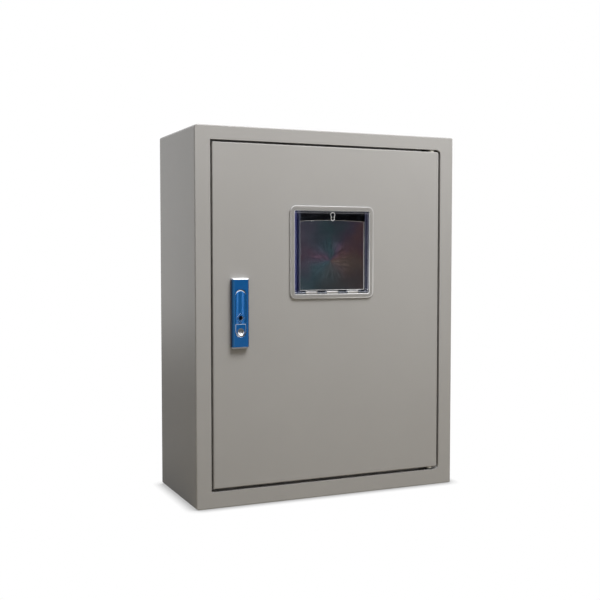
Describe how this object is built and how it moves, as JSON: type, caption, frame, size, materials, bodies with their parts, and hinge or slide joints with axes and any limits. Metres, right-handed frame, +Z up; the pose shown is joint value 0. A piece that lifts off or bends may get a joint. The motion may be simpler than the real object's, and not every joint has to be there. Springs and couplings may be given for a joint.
{
  "type": "steel wall enclosure",
  "caption": "Wall-mounted sheet-steel enclosure with an inset hinged door, a clear hinged inspection window, and a flush push-release handle with key lock.",
  "frame": {"origin": "middle of the four wall fixing holes, on the outer face of the back", "axes": "+X to the right seen from the front, +Y from the front into the wall, +Z up"},
  "size_m": [0.465, 0.203, 0.6],
  "materials": {
    "body_paint": "satin fine-texture powder coat",
    "galvanised": "galvanised sheet",
    "zinc_steel": "bright zinc plate",
    "chrome": "polished",
    "blue_skin": "glossy translucent blue film over chrome",
    "clear_plastic": "clear moulded polycarbonate",
    "foam": "matt closed-cell foam",
    "nylon": "moulded nylon"
  },
  "bodies": {
    "cabinet": {"cabinet_shell": "body_paint", "front_frame": "body_paint", "back_panel": "body_paint", "mounting_plate": "galvanised", "plate_studs": "zinc_steel", "plate_rear_nuts": "zinc_steel", "plate_washers": "zinc_steel", "plate_front_nuts": "zinc_steel", "earth_stud": "zinc_steel", "earth_nut": "zinc_steel", "hinge_bracket_upper": "zinc_steel", "hinge_bracket_lower": "zinc_steel", "hinge_pin_upper": "zinc_steel", "hinge_pin_lower": "zinc_steel", "hinge_washer": "zinc_steel", "strike_plate": "zinc_steel"},
    "door": {"door_panel": "body_paint", "door_gasket": "foam", "hinge_bush_upper": "nylon", "hinge_bush_lower": "nylon", "door_earth_stud": "zinc_steel", "door_earth_nut": "zinc_steel", "handle_housing": "chrome", "handle_face": "blue_skin", "handle_clamp": "galvanised", "handle_screws": "zinc_steel", "lever_pin": "zinc_steel", "button_spring": "zinc_steel", "window_frame": "clear_plastic", "window_seal": "foam", "window_clips": "zinc_steel", "flap_pin": "zinc_steel"},
    "lever": {"lever": "chrome", "lever_face": "blue_skin", "lock_barrel": "chrome"},
    "lock_core": {"lock_core": "zinc_steel"},
    "button": {"push_button": "chrome", "button_skin": "blue_skin"},
    "latch": {"latch_spindle": "zinc_steel", "latch_cam": "zinc_steel", "latch_washer": "zinc_steel", "latch_nut": "zinc_steel"},
    "flap": {"window_flap": "clear_plastic", "flap_catch": "clear_plastic"}
  },
  "joints": [
    {"name": "door_swing", "type": "hinge", "parent": "cabinet", "child": "door", "pos_m": [0.1922, -0.189, 0], "axis": [0, 0, 1], "range_deg": [0, 120]},
    {"name": "lever_lift", "type": "hinge", "parent": "door", "child": "lever", "pos_m": [-0.1608, -0.199, 0.0379], "axis": [-1, 0, 0], "range_deg": [0, 35]},
    {"name": "button_press", "type": "slide", "parent": "door", "child": "button", "axis": [0, 1, 0], "range_m": [0, 0.003], "stiffness_N_per_m": 300, "springref_m": -0.003, "deforming": ["button_spring"]},
    {"name": "key_turn", "type": "hinge", "parent": "lever", "child": "lock_core", "pos_m": [-0.1608, -0.199, 0.0003], "axis": [0, 1, 0], "range_deg": [0, 90]},
    {"name": "latch_turn", "type": "hinge", "parent": "door", "child": "latch", "pos_m": [-0.1608, -0.176, 0.0364], "axis": [0, 1, 0], "range_deg": [0, 90]},
    {"name": "flap_swing", "type": "hinge", "parent": "door", "child": "flap", "pos_m": [0.0012, -0.1955, 0.0378], "axis": [1, 0, 0], "range_deg": [0, 95]}
  ]
}
